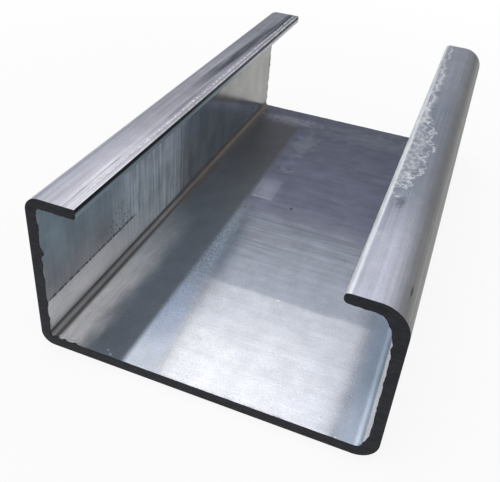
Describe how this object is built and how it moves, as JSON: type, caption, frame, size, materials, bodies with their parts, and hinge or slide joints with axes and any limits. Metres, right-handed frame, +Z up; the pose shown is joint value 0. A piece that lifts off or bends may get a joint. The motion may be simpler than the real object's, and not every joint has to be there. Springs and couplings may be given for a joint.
{
  "type": "galvanized steel c-channel",
  "caption": "Short sawn length of cold-formed galvanized steel C-channel: a flat web, two upright flanges and in-turned lips along the open side.",
  "frame": {"origin": "underside of the web, in the middle of the width and of the length", "axes": "+X across the section towards the right flange, +Y along the length away from the pictured cut end, +Z up through the open side between the lips"},
  "size_m": [0.1, 0.182, 0.051],
  "materials": {
    "galvanized_steel": "hot-dip zinc coating, semi-bright, with roll marks, handling scuffs and bare dark saw cuts"
  },
  "bodies": {
    "root": {"channel": "galvanized_steel"}
  },
  "joints": []
}
